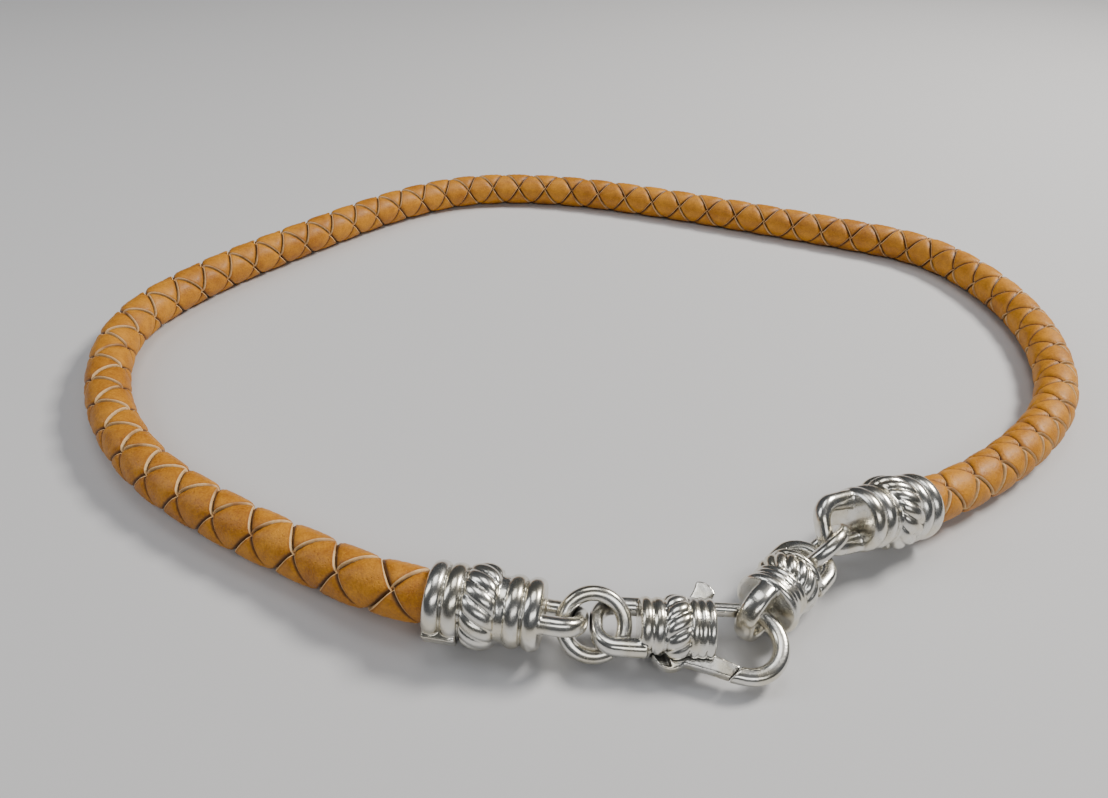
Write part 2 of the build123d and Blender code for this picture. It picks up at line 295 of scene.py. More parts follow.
class SilverSettings(bpy.types.PropertyGroup):
    """Colours and polish of the silver."""

    polished: FloatVectorProperty(
        name="Polished", description="Colour of the polished silver", subtype="COLOR",
        default=(0.80, 0.785, 0.735),
    )
    tarnish: FloatVectorProperty(
        name="Tarnish", description="Colour of the darkened grooves", subtype="COLOR",
        default=(0.045, 0.042, 0.036),
    )
    groove: FloatProperty(
        name="Groove", description="Width of a groove that stays dark", default=1.0 * MM, unit="LENGTH",
    )
    roughness: FloatProperty(
        name="Roughness", description="Roughness of the polish", default=0.22, min=0.0, max=1.0,
    )
    groove_depth: FloatProperty(
        name="Groove depth", description="Depth of the grooves between the strands of a rope band",
        default=0.62 * MM, unit="LENGTH",
    )
    voxel: FloatProperty(
        name="Voxel", description="Fineness of the cast forms",
        default=0.115 * MM, unit="LENGTH", precision=6,
    )
    soften: IntProperty(
        name="Soften", description="Rounds of smoothing of a cast form", default=4, min=0, max=30,
    )


class StageSettings(bpy.types.PropertyGroup):
    """Camera, floor and lights."""

    lens: FloatProperty(name="Lens", description="Focal length of the camera", default=27.62, unit="CAMERA")
    place: FloatVectorProperty(
        name="Camera place", description="Where the camera stands", subtype="XYZ", unit="LENGTH",
        default=(-8.4 * MM, -136.5 * MM, 87.5 * MM),
    )
    pitch: FloatProperty(
        name="Camera pitch", description="How far the camera looks down",
        default=math.radians(36), subtype="ANGLE",
    )
    roll: FloatProperty(
        name="Camera roll", description="Tilt of the camera", default=math.radians(3), subtype="ANGLE",
    )
    floor: FloatVectorProperty(
        name="Floor", description="Colour of the floor", subtype="COLOR", default=(0.62, 0.62, 0.63),
    )
    light: FloatProperty(
        name="Lights", description="Strength that every light has a share of", default=2.1, unit="POWER",
    )


# Shader maths


class Wire:
    """A shader socket that takes part in arithmetic: each operator adds its Math node."""

    def __init__(self, paint, socket):
        self.paint = paint
        self.socket = socket

    def _math(self, operation, *values, clamp=False):
        return self.paint.node("ShaderNodeMath", {"operation": operation, "use_clamp": clamp}, values)

    def __add__(self, other):
        return self._math("ADD", self, other)

    __radd__ = __add__

    def __sub__(self, other):
        return self._math("SUBTRACT", self, other)

    def __rsub__(self, other):
        return self._math("SUBTRACT", other, self)

    def __mul__(self, other):
        return self._math("MULTIPLY", self, other)

    __rmul__ = __mul__

    def __abs__(self):
        return self._math("ABSOLUTE", self)

    def cosine(self):
        return self._math("COSINE", self)

    def clamped(self):
        return self._math("ADD", self, 0.0, clamp=True)

    def smooth(self, low, high):
        """0 below low, 1 above high and a smooth step between."""
        settings = {"interpolation_type": "SMOOTHSTEP"}
        values = {"Value": self, "From Min": low, "From Max": high}
        return self.paint.node("ShaderNodeMapRange", settings, values)


class Paint:
    """A material's node tree, built one call at a time."""

    def __init__(self, name):
        self.material = bpy.data.materials.new(name)
        self.material.use_nodes = True
        self.tree = self.material.node_tree
        self.tree.nodes.clear()
        self.shader = self.tree.nodes.new("ShaderNodeBsdfPrincipled")
        output = self.tree.nodes.new("ShaderNodeOutputMaterial")
        self.tree.links.new(self.shader.outputs["BSDF"], output.inputs["Surface"])

    def node(self, kind, settings=None, values=None, out=0):
        """Adds a node: its settings first, then the values or links of its sockets; gives one output."""
        made = self.tree.nodes.new(kind)
        for name, value in (settings or {}).items():
            setattr(made, name, value)
        pairs = values.items() if isinstance(values, dict) else enumerate(values or ())
        for key, value in pairs:
            self._set(made.inputs[key], value)
        return Wire(self, made.outputs[out])

    def _set(self, socket, value):
        if isinstance(value, Wire):
            self.tree.links.new(value.socket, socket)
        elif socket.type == "RGBA" and len(value) == 3:
            socket.default_value = (*value, 1.0)
        else:
            socket.default_value = value

    def mix(self, factor, first, second, blend="MIX"):
        """Colour between two colours."""
        settings = {"data_type": "RGBA", "blend_type": blend}
        return self.node("ShaderNodeMix", settings, {0: factor, 6: first, 7: second}, out=2)

    def noise(self, where, scale, detail=2.0, roughness=0.5):
        values = {"Vector": where, "Scale": scale, "Detail": detail, "Roughness": roughness}
        return self.node("ShaderNodeTexNoise", {}, values)

    def place(self):
        """Point of the surface in the row frame, in metres."""
        return self.node("ShaderNodeTexCoord", out=3)

    def bump(self, height, distance, strength):
        values = {"Strength": strength, "Distance": distance, "Height": height}
        return self.node("ShaderNodeBump", {}, values)

    def finish(self, **sockets):
        """Sets the shader's sockets, named with underscores for spaces."""
        for name, value in sockets.items():
            self._set(self.shader.inputs[name.replace("_", " ")], value)
        return self.material


# Materials


def leather_paint(braid):
    """Waxed brown leather: pores, fibres along each strand, darker flanks, uneven dye, and painted shade
    where a strand dips under the next.
    """
    paint = Paint("braid_leather")
    where = paint.place()
    strand = paint.node("ShaderNodeUVMap", {"uv_map": "strand"})
    across = paint.node("ShaderNodeSeparateXYZ", {}, [strand])
    along = Wire(paint, across.socket.node.outputs["Y"])
    over = (along * math.pi).cosine()
    flank = abs(across).smooth(0.84, 1.0)
    # Painted shade: mask of the strand's ends where it dips under its neighbour
    dip_shade = 1.0 - over.smooth(0.03, 0.25)
    dye = paint.noise(where, 110.0, 3.0, 0.6)
    mottle = paint.noise(where, 700.0, 4.0, 0.65)
    fibres = paint.node("ShaderNodeMapping", {}, {"Vector": strand, "Scale": (14.0, 2.2, 1.0)})
    streaks = paint.noise(fibres, 1.0, 3.0, 0.6)
    grain = paint.noise(where, 3300.0, 3.0, 0.65)
    pores = paint.node("ShaderNodeTexVoronoi", {"feature": "F1"}, {"Vector": where, "Scale": 2300.0})
    tone = dye.smooth(0.32, 0.68) * 0.38 + mottle.smooth(0.3, 0.7) * 0.27 + grain.smooth(0.3, 0.7) * 0.35
    leather = paint.mix((0.15 + tone).clamped(), braid.dark, braid.light)
    leather = paint.mix((flank * 0.45 + streaks.smooth(0.52, 0.75) * 0.28).clamped(), leather, braid.dark)
    # Painted shade: the dipping ends go to a near-black brown
    leather = paint.mix(dip_shade * 0.92, leather, (0.035, 0.010, 0.002))
    height = pores.smooth(0.0, 0.35) * 0.5 + grain * 0.7 + streaks * 0.35
    return paint.finish(
        Base_Color=leather,
        Roughness=0.42 + tone * 0.14 + flank * 0.12,
        Specular_IOR_Level=0.38,
        Coat_Weight=0.06,
        Coat_Roughness=0.28,
        Normal=paint.bump(height, 0.11 * MM, 0.9),
    )


def cut_paint(braid):
    """Raw cut edge of a leather strand: paler, matt and fibrous."""
    paint = Paint("braid_cut_edge")
    where = paint.place()
    fibres = paint.noise(where, 2600.0, 3.0, 0.7)
    patches = paint.noise(where, 240.0, 2.0, 0.5)
    color = paint.mix(fibres.smooth(0.3, 0.7) * 0.45, braid.cut, braid.light)
    color = paint.mix(patches.smooth(0.5, 0.75) * 0.7, color, braid.dark)
    return paint.finish(
        Base_Color=color,
        Roughness=0.8,
        Normal=paint.bump(fibres, 0.08 * MM, 0.6),
    )


def core_shade_paint():
    """Inside of the braid, seen only through the gaps, painted near black as shade."""
    paint = Paint("braid_core_shade")
    where = paint.place()
    patches = paint.noise(where, 900.0)
    # Painted shade: near-black browns for the braid's inside
    color = paint.mix(patches.smooth(0.3, 0.7), (0.02, 0.008, 0.003), (0.05, 0.018, 0.006))
    return paint.finish(Base_Color=color, Roughness=0.9)


def silver_paint(silver):
    """Polished silver, darkened where it lies in a groove, with fine scratches and a warm tint that is partly
    yellow tarnish and partly painted reflection of the leather.
    """
    paint = Paint("silver_polished")
    where = paint.place()
    shelter = paint.node("ShaderNodeAmbientOcclusion", {"samples": 12}, {"Distance": silver.groove}, out=1)
    patches = paint.noise(where, 700.0, 3.0, 0.6)
    groove = (1.0 - shelter).smooth(0.27, 0.56)
    veil = patches.smooth(0.45, 0.75) * 0.14
    color = paint.mix((groove * 0.93 + veil).clamped(), silver.polished, silver.tarnish)
    dents_tarnish_and_reflection = paint.noise(where, 330.0, 2.0, 0.5)
    # Warm tint: partly yellow tarnish, partly painted reflection of the leather
    color = paint.mix(dents_tarnish_and_reflection.smooth(0.42, 0.66) * 0.5, color, (0.90, 0.82, 0.62), "MULTIPLY")
    brushed = paint.node("ShaderNodeMapping", {}, {"Vector": where, "Scale": (9000.0, 700.0, 2600.0)})
    scratches = paint.noise(brushed, 1.0)
    roughness = silver.roughness + veil * 0.5 + groove * 0.35 + scratches.smooth(0.5, 0.9) * 0.07
    return paint.finish(
        Base_Color=color,
        Metallic=1.0 - groove * 0.35,
        Roughness=roughness.clamped(),
        Normal=paint.bump(dents_tarnish_and_reflection + patches * 0.10 + scratches * 0.012, 0.10 * MM, 0.5),
    )


def floor_paint(stage):
    """Plain pale floor."""
    paint = Paint("stage_floor")
    return paint.finish(Base_Color=stage.floor, Roughness=0.72, Specular_IOR_Level=0.25)


# Cord


def route_points():
    """Points of the cord's middle, read from the route's smooth spline, in metres."""
    curve = bpy.data.curves.new("cord_route", "CURVE")
    curve.dimensions = "3D"
    curve.resolution_u = ROUTE_STEPS
    spline = curve.splines.new("NURBS")
    spline.points.add(len(CORD_ROUTE) - 1)
    for point, (x, y, z) in zip(spline.points, CORD_ROUTE):
        point.co = (x * MM, y * MM, z * MM, 1.0)
    spline.order_u = 3
    spline.use_endpoint_u = True
    holder = linked("cord_route", curve)
    bpy.context.view_layer.update()
    line = bpy.data.meshes.new_from_object(holder)
    points = [vertex.co.copy() for vertex in line.vertices]
    bpy.data.objects.remove(holder)
    bpy.data.curves.remove(curve)
    bpy.data.meshes.remove(line)
    return points


class CordLine:
    """The cord's middle line by length: place, way, side and up at any distance from its start."""

    def __init__(self, points):
        self.points = points
        self.lengths = [0.0]
        for before, after in zip(points, points[1:]):
            self.lengths.append(self.lengths[-1] + (after - before).length)
        self.ways = []
        for number in range(len(points)):
            before = points[max(number - 1, 0)]
            after = points[min(number + 1, len(points) - 1)]
            self.ways.append((after - before).normalized())
        self.length = self.lengths[-1]
        self.last = 0

    def at(self, distance):
        """Place and the two directions across the cord at a distance along it."""
        distance = min(max(distance, 0.0), self.length)
        number = self.last
        while number > 0 and self.lengths[number] > distance:
            number -= 1
        while number < len(self.points) - 2 and self.lengths[number + 1] < distance:
            number += 1
        self.last = number
        share = (distance - self.lengths[number]) / (self.lengths[number + 1] - self.lengths[number])
        place = self.points[number].lerp(self.points[number + 1], share)
        way = self.ways[number].lerp(self.ways[number + 1], share).normalized()
        side = way.cross(Vector((0, 0, 1))).normalized()
        return place, side, side.cross(way)


def lay_at(distance):
    """Turn of the braid in radians and its shift in metres at a distance along the cord."""
    for before, after in zip(BRAID_LAY, BRAID_LAY[1:]):
        if distance / MM <= after[0]:
            break
    share = min(max((distance / MM - before[0]) / (after[0] - before[0]), 0.0), 1.0)
    turn, shift = (first + (last - first) * share for first, last in zip(before[1:], after[1:]))
    return math.radians(turn), shift * MM


def strand_section(braid):
    """Points round a strand's section: share of its half width, height of its back and depth below it."""
    section = []
    for across in STRAND_BACK:
        worn = EDGE_WEAR * max(abs(across) - WORN_FROM, 0.0) / (1 - WORN_FROM)
        section.append((across, braid.crown * (1 - across**2) - worn, 0.0))
    for across, depth in STRAND_WALLS:
        section.append((across, 0.0, depth * braid.thickness))
    return section


def strand_rings(mesh, line, braid, way, number):
    """Rings of one strand that winds round the cord one way, and the strand coordinates of their points."""
    middle = CORD_DIAMETER / 2 + braid.fullness - braid.lift - braid.crown
    lane = braid.pitch / 4
    first = 0.5 - braid.start / lane
    cells = (line.length - lay_at(line.length)[1]) / lane - 1.0
    count = int(cells * braid.samples)
    section = strand_section(braid)
    rings, values = [], []
    for step in range(count + 1):
        cell = first + cells * step / count
        wave = math.cos(math.pi * cell)
        rise = way * braid.lift * math.tanh(braid.crispness * wave) / math.tanh(braid.crispness)
        ring, value = [], []
        for across, back, depth in section:
            aside = 0.5 * braid.fill * across
            distance = lane * (cell - aside) + braid.start
            turn, shift = lay_at(distance)
            angle = way * math.pi / 2 * (cell + aside) + math.pi * number + braid.turn + turn
            place, side, up = line.at(distance + shift)
            outward = up * math.cos(angle) + side * math.sin(angle)
            ring.append(mesh.verts.new(place + outward * (middle + rise + back - depth)))
            value.append((across, cell + (1 - way) / 2 + 2 * number))
        rings.append(ring)
        values.append(value)
    return rings, values


def braid_mesh(line, braid):
    """Four flat strands, two each way, that go over and under one another round the cord."""
    mesh = bmesh.new()
    strand_uv = mesh.loops.layers.uv.new("strand")
    back_faces = len(STRAND_BACK) - 1
    for way, number in ((1, 0), (1, 1), (-1, 0), (-1, 1)):
        rings, values = strand_rings(mesh, line, braid, way, number)
        around = len(rings[0])
        for row in range(len(rings) - 1):
            for column in range(around):
                other = (column + 1) % around
                corners = [(row, column), (row, other), (row + 1, other), (row + 1, column)]
                face = mesh.faces.new([rings[ring][point] for ring, point in corners])
                face.smooth = True
                if column < back_faces:
                    face.material_index = 0
                elif back_faces + WALL_FACES <= column < around - WALL_FACES:
                    face.material_index = 2
                else:
                    face.material_index = 1
                for loop, (ring, point) in zip(face.loops, corners):
                    loop[strand_uv].uv = values[ring][point]
        for ring in (rings[0], list(reversed(rings[-1]))):
            mesh.faces.new(ring).material_index = 1
    return mesh


def core_rings(mesh, line, radius, steps, sides=12):
    """Plain round core inside the strands."""
    rings = []
    for step in range(steps + 1):
        place, side, up = line.at(line.length * step / steps)
        ring = []
        for number in range(sides):
            angle = 2 * math.pi * number / sides
            ring.append(mesh.verts.new(place + (up * math.cos(angle) + side * math.sin(angle)) * radius))
        rings.append(ring)
    for before, after in zip(rings, rings[1:]):
        for number in range(sides):
            other = (number + 1) % sides
            face = mesh.faces.new([before[number], before[other], after[other], after[number]])
            face.material_index = 2
            face.smooth = True
    for ring, flip in ((rings[0], True), (rings[-1], False)):
        face = mesh.faces.new(list(reversed(ring)) if flip else ring)
        face.material_index = 2


def finished_mesh(name, mesh):
    """Mesh of a bmesh, with its faces turned outwards; the bmesh is used up."""
    bmesh.ops.recalc_face_normals(mesh, faces=mesh.faces)
    data = bpy.data.meshes.new(name)
    mesh.to_mesh(data)
    mesh.free()
    return data


def linked(name, data):
    """New object of a mesh or curve, in the scene."""
    made = bpy.data.objects.new(name, data)
    bpy.context.scene.collection.objects.link(made)
    return made


def add_piece(name, data, materials, body, node):
    """Object that wears its materials, rides on a body and stands for its CAD node."""
    for material in materials:
        data.materials.append(material)
    piece = linked(name, data)
    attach(piece, body)
    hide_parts(node)
    return piece


# Silver forms


def fitting_place(name):
    """Matrix from a fitting's own millimetres, x along its barrel, to the row frame in metres."""
    origin, heading, climb = PLACES[name]
    turn = Matrix.Rotation(math.radians(heading), 4, "Z") @ Matrix.Rotation(math.radians(-climb), 4, "Y")
    return Matrix.Scale(MM, 4) @ Matrix.Translation(origin) @ turn


def skin(mesh, rings):
    """Faces between rings of equal count, closed at both ends."""
    for before, after in zip(rings, rings[1:]):
        for number in range(len(before)):
            other = (number + 1) % len(before)
            mesh.faces.new([before[number], after[number], after[other], before[other]])
    mesh.faces.new(rings[0])
    mesh.faces.new(list(reversed(rings[-1])))


def turned_form(mesh, place, stations, sides=168):
    """Closed form turned about x, from stations of x and radius, or radius for an angle."""
    rings = []
    for x, reach in stations:
        ring = []
        for number in range(sides):
            angle = 2 * math.pi * number / sides
            radius = reach(angle) if callable(reach) else reach
            point = Vector((x, -radius * math.sin(angle), radius * math.cos(angle)))
            ring.append(mesh.verts.new(place @ point))
        rings.append(ring)
    skin(mesh, rings)


def bead_stations(start, width, radius):
    """Half-round bead."""
    depth = BEAD_CURL * width
    for step in range(13):
        share = -1 + step / 6
        yield start + width * (1 + share) / 2, radius - depth * (1 - math.sqrt(1 - min(share**2, 0.999)))


def rope_stations(start, width, radius, strands, hand, groove):
    """Ring of slanting strands that curl in at both edges, like a rope laid round the barrel."""
    for step in range(33):
        share = -1 + step / 16
        swell = radius - ROPE_CURL * width * (1 - math.sqrt(1 - min(share**2, 0.999)))
        lean = hand * math.tan(math.radians(ROPE_SLANT)) * width / 2 * math.asin(share) / radius

        def reach(angle, swell=swell, lean=lean):
            turn = strands * (angle - lean) / (2 * math.pi)
            aside = 2 * (turn - round(turn))
            return swell - groove * (1 - math.sqrt(1 - STRAND_ROUNDNESS * aside**2))

        yield start + width * (1 + share) / 2, reach


def barrel_stations(rows, groove):
    """Stations of a whole barrel, and its length."""
    stations = []
    start = 0.0
    for form, radius, width, strands in rows:
        if form == "bead":
            stations += bead_stations(start, width, radius)
        elif form == "neck":
            stations += [(start, radius), (start + width, radius)]
        else:
            hand = -1 if form.startswith("mirrored") else 1
            stations += rope_stations(start, width, radius, strands, hand, groove)
        start += width
    return stations, start


def wire_section(across, upward, sides=20, fullness=2.35):
    """Points of a rounded section, a little fuller than an ellipse."""
    points = []
    for number in range(sides):
        angle = 2 * math.pi * number / sides
        cos, sin = math.cos(angle), math.sin(angle)
        points.append((
            across * math.copysign(abs(cos) ** (2 / fullness), cos),
            upward * math.copysign(abs(sin) ** (2 / fullness), sin),
        ))
    return points


def bent_wire(mesh, place, path, height, end_plane=None):
    """Bar bent in its own plane, from path rows of x, y and half width. A plane may cut its last end."""
    rings = []
    for number, (x, y, across) in enumerate(path):
        before = path[max(number - 1, 0)]
        after = path[min(number + 1, len(path) - 1)]
        way = Vector((after[0] - before[0], after[1] - before[1], 0)).normalized()
        aside = Vector((-way.y, way.x, 0))
        ring = []
        for step_aside, step_up in wire_section(across, height / 2):
            point = Vector((x, y, 0)) + aside * step_aside + Vector((0, 0, step_up))
            if end_plane and number == len(path) - 1:
                middle, facing = end_plane
                point += way * ((middle - point).dot(facing) / way.dot(facing))
            ring.append(mesh.verts.new(place @ point))
        rings.append(ring)
    skin(mesh, rings)


def eye_path(length, width, bar, corner, swell):
    """Middle line of a flat loop with two legs that start inside the barrel."""
    half = (width - bar) / 2
    reach = length - bar / 2
    bend = min(corner - bar / 2, half)
    leg = bar / 2 * swell
    path = [(-ROOT_DEPTH, half, leg), ((reach - bend) / 2, half, leg)]
    for step in range(13):
        angle = math.radians(90 - 7.5 * step)
        across = bar / 2 + (leg - bar / 2) * 0.8 * math.sin(angle)
        path.append((reach - bend + bend * math.cos(angle), half - bend + bend * math.sin(angle), across))
    path += [(x, -y, across) for x, y, across in reversed(path)]
    return path


def eye(mesh, place, length, width, bar, height, corner, swell):
    """Loop of rounded bar."""
    bent_wire(mesh, place, eye_path(length, width, bar, corner, swell), height)


def plaque(mesh, place):
    """Small bare plate on the two beads at the mouth of a cap."""
    length, width, depth = PLAQUE_SIZE
    seat = place @ Matrix.Rotation(math.radians(PLAQUE_TURN), 4, "X")
    along, outward = PLAQUE_SEAT
    seat = seat @ Matrix.Translation((along, 0, outward - depth / 2))
    made = bmesh.ops.create_cube(mesh, size=1.0, matrix=seat @ Matrix.Diagonal((length, width, depth, 1)))
    edges = list({edge for vertex in made["verts"] for edge in vertex.link_edges})
    bmesh.ops.bevel(mesh, geom=edges, offset=PLAQUE_EDGE, segments=3, affect="EDGES", profile=0.5)


def fitted(name, mesh, modifiers):
    """Mesh of a bmesh after modifiers, each a type and its settings; the bmesh is used up."""
    data = finished_mesh(name, mesh)
    holder = linked(name, data)
    for kind, settings in modifiers:
        modifier = holder.modifiers.new(kind.lower(), kind)
        for key, value in settings.items():
            setattr(modifier, key, value)
    bpy.context.view_layer.update()
    graph = bpy.context.evaluated_depsgraph_get()
    made = bpy.data.meshes.new_from_object(holder.evaluated_get(graph))
    bpy.data.objects.remove(holder)
    bpy.data.meshes.remove(data)
    return made


def cast_modifiers(silver, rounds):
    """Modifiers that fuse overlapping closed forms into one cast skin and soften it."""
    fuse = {"mode": "VOXEL", "voxel_size": silver.voxel, "adaptivity": 0.0, "use_smooth_shade": True}
    return [("REMESH", fuse), ("SMOOTH", {"factor": 0.5, "iterations": rounds})]


def silver_piece(name, data, material, body, node):
    """Smooth silver piece of a finished mesh."""
    data.materials.clear()
    for face in data.polygons:
        face.use_smooth = True
        face.material_index = 0
    add_piece(name, data, [material], body, node)


def cap_form(silver, name, eye_length, eye_roll, eye_swell):
    """Cap of a cord's end: beads, rope band, neck, eye and plaque round the socket."""
    mesh = bmesh.new()
    place = fitting_place(name)
    stations, length = barrel_stations(CAP_ROWS, silver.groove_depth / MM)
    bore = [(BORE_DEPTH, TIP_RADIUS), (BORE_DEPTH, BORE_RADIUS), (0.2, BORE_RADIUS), (0.0, BORE_RADIUS + 0.2)]
    turned_form(mesh, place, bore + stations + [(length, TIP_RADIUS)])
    seat = place @ Matrix.Translation((length, 0, 0)) @ Matrix.Rotation(math.radians(-eye_roll), 4, "X")
    eye(mesh, seat, eye_length, swell=eye_swell, **CAP_EYE)
    plaque(mesh, place)
    return fitted(name, mesh, cast_modifiers(silver, silver.soften))


def connector_form(silver):
    """Connector: cupped disc with the bail, thin rings, rope band and round loop."""
    mesh = bmesh.new()
    place = fitting_place("connector")
    stations, length = barrel_stations(CONNECTOR_ROWS, silver.groove_depth / MM)
    turned_form(mesh, place, [(0.0, TIP_RADIUS)] + stations + [(length, TIP_RADIUS)])
    eye(mesh, place @ Matrix.Translation((length, 0, 0)), CONNECTOR_EYE_LENGTH, **CONNECTOR_EYE)
    seat = place @ Matrix.Translation((0, BAIL_SHIFT, 0)) @ Matrix.Rotation(math.pi, 4, "Z")
    eye(mesh, seat @ Matrix.Rotation(math.pi / 2, 4, "X"), BAIL_LENGTH, **BAIL)
    return fitted("connector", mesh, cast_modifiers(silver, silver.soften))


def ring_form(name):
    """Round ring of wire, bent shut with a fine seam."""
    middle, heading, tilt, seam = RINGS[name]
    turn = Matrix.Rotation(math.radians(heading), 4, "Z") @ Matrix.Rotation(math.radians(tilt), 4, "X")
    place = Matrix.Scale(MM, 4) @ Matrix.Translation(middle) @ turn
    path = []
    gap = math.degrees(RING_SEAM / RING_RADIUS)
    for step in range(RING_STEPS + 1):
        angle = math.radians(seam + gap / 2 + (360 - gap) * step / RING_STEPS)
        path.append((RING_RADIUS * math.cos(angle), RING_RADIUS * math.sin(angle), RING_WIRE / 2))
    mesh = bmesh.new()
    bent_wire(mesh, place, path, RING_WIRE)
    rounding = {"width": RING_EDGE, "segments": 2, "angle_limit": math.radians(50)}
    return fitted(name, mesh, [("BEVEL", rounding)])


def hook_place():
    """Matrix of the hook's own plane."""
    roll = Matrix.Rotation(math.radians(HOOK_ROLL), 4, "X")
    return fitting_place("clasp_body") @ roll @ Matrix.Translation((0, 0, -HOOK_DROP))


def hook(mesh, length):
    """Hook: an arm from the barrel that turns most of a circle, to its slanting tip."""
    centre_x, centre_y = HOOK_CENTRE
    outward, inward = HOOK_SWELL
    path = []
    for step in range(49):
        angle = math.radians(90 - step * 4)
        share = min(0.3 + step / 20, 1.0)
        half = (ARM_WIDTH + share * (HOOK_WIDTH - ARM_WIDTH + outward + inward)) / 2
        radius = HOOK_RADIUS + share * outward - half
        path.append((centre_x + radius * math.cos(angle), centre_y + radius * math.sin(angle), half))
    path.insert(0, (length - ROOT_DEPTH, *path[0][1:]))
    inner = HOOK_RADIUS - HOOK_WIDTH
    seam = math.radians(SEAM_TURN)
    middle = Vector((centre_x + inner * math.cos(seam), centre_y + inner * math.sin(seam), 0))
    facing = Vector((-math.sin(math.radians(SEAM_SLOPE)), math.cos(math.radians(SEAM_SLOPE)), 0))
    bent_wire(mesh, hook_place(), path, HOOK_HEIGHT, end_plane=(middle, facing))


def slab(mesh, place, outline, low, high):
    """Prism of an outline between two heights."""
    rings = [[mesh.verts.new(place @ Vector((x, y, z))) for x, y in outline] for z in (low, high)]
    skin(mesh, rings)


def round_outline(centre, radius, sides=32):
    """Points of a circle."""
    turns = [2 * math.pi * number / sides for number in range(sides)]
    return [(centre[0] + radius * math.cos(turn), centre[1] + radius * math.sin(turn)) for turn in turns]


def ahead(origin, heading, reach, aside):
    """Point at a reach along a heading, and aside to its left."""
    cos, sin = math.cos(math.radians(heading)), math.sin(math.radians(heading))
    return origin[0] + reach * cos - aside * sin, origin[1] + reach * sin + aside * cos


def lever_outlines(length):
    """Outlines that make up the lever: boss, tail, gate and thumb tab."""
    inner = HOOK_RADIUS - HOOK_WIDTH
    seam = math.radians(SEAM_TURN)
    seam_in = (HOOK_CENTRE[0] + inner * math.cos(seam) - SEAM_GAP, HOOK_CENTRE[1] + inner * math.sin(seam))
    seam_out = ahead(seam_in, 180 + SEAM_SLOPE, GATE_TIP, 0)
    exit_y = seam_in[1] + (seam_in[0] - length) * math.tan(math.radians(GATE_SLOPE))
    below = (TAIL[0], TAIL[1] - TAIL_RADIUS / 2)
    gate = [seam_in, (length, exit_y), PIVOT, below, (length, exit_y - GATE_ROOT), seam_out]
    edge = [(reach, -half) for reach, half in TAB_SIDE] + list(reversed(TAB_SIDE))
    tab = [ahead(PIVOT, TAB_HEADING, reach, half) for reach, half in edge]
    return [round_outline(PIVOT, BOSS_RADIUS), round_outline(TAIL, TAIL_RADIUS), gate, tab]


def lever_room(silver, length):
    """Room that the lever sweeps in the barrel, with its clearance."""
    mesh = bmesh.new()
    pivot = Matrix.Translation((*PIVOT, 0))
    for step in range(7):
        turn = pivot @ Matrix.Rotation(math.radians(LEVER_OPEN * step / 6), 4, "Z") @ pivot.inverted()
        for outline in lever_outlines(length):
            slab(mesh, hook_place() @ turn, outline, -LEVER_HEIGHT / 2, LEVER_HEIGHT / 2)
    modifiers = [
        ("REMESH", {"mode": "VOXEL", "voxel_size": ROOM_VOXEL, "adaptivity": 0.0}),
        ("DISPLACE", {"strength": LEVER_CLEARANCE * MM, "mid_level": 0.0}),
    ]
    return fitted("lever_room", mesh, modifiers)


def hollowed(name, mesh, cutter, silver, rounds):
    """Fuses a form, takes the cutter's mesh out of it and softens it."""
    tool = linked("cutter", cutter)
    fuse, soften = cast_modifiers(silver, rounds)
    cut = ("BOOLEAN", {"operation": "DIFFERENCE", "solver": "MANIFOLD", "object": tool})
    made = fitted(name, mesh, [fuse, cut, fuse, soften])
    bpy.data.meshes.remove(cutter)
    return made


def clasp_form(silver):
    """Clasp barrel with its eye and hook, hollowed for the lever."""
    mesh = bmesh.new()
    place = fitting_place("clasp_body")
    stations, length = barrel_stations(CLASP_ROWS, silver.groove_depth / MM * CLASP_GROOVE_SHARE)
    turned_form(mesh, place, [(0.0, TIP_RADIUS)] + stations + [(length, TIP_RADIUS)])
    eye(mesh, place @ Matrix.Rotation(math.pi, 4, "Z"), CLASP_EYE_LENGTH, **CLASP_EYE)
    hook(mesh, length)
    return hollowed("clasp_body", mesh, lever_room(silver, length), silver, silver.soften)


def lever_form(silver):
    """Lever: gate, boss with its pin hole, hollow tail and thumb tab."""
    length = barrel_stations(CLASP_ROWS, 0.0)[1]
    place = hook_place()
    mesh = bmesh.new()
    for outline in lever_outlines(length):
        slab(mesh, place, outline, -LEVER_HEIGHT / 2, LEVER_HEIGHT / 2)
    cutter = bmesh.new()
    slab(cutter, place, round_outline(PIVOT, PIN_HOLE), -LEVER_HEIGHT, LEVER_HEIGHT)
    hollow = []
    for step in range(25):
        turn = math.radians(85 + 7.9 * step)
        point = Vector(TAIL) + (TAIL_RADIUS - TAIL_WALL) * Vector((math.cos(turn), math.sin(turn)))
        away = point - Vector(PIVOT)
        if away.length < BOSS_RADIUS + TAIL_WALL:
            point = Vector(PIVOT) + away.normalized() * (BOSS_RADIUS + TAIL_WALL)
        hollow.append(tuple(point))
    slab(cutter, place, hollow, TAIL_FLOOR - LEVER_HEIGHT / 2, LEVER_HEIGHT)
    return hollowed("clasp_lever", mesh, fitted("lever_cutter", cutter, []), silver, LEVER_SOFTEN)


# Operators


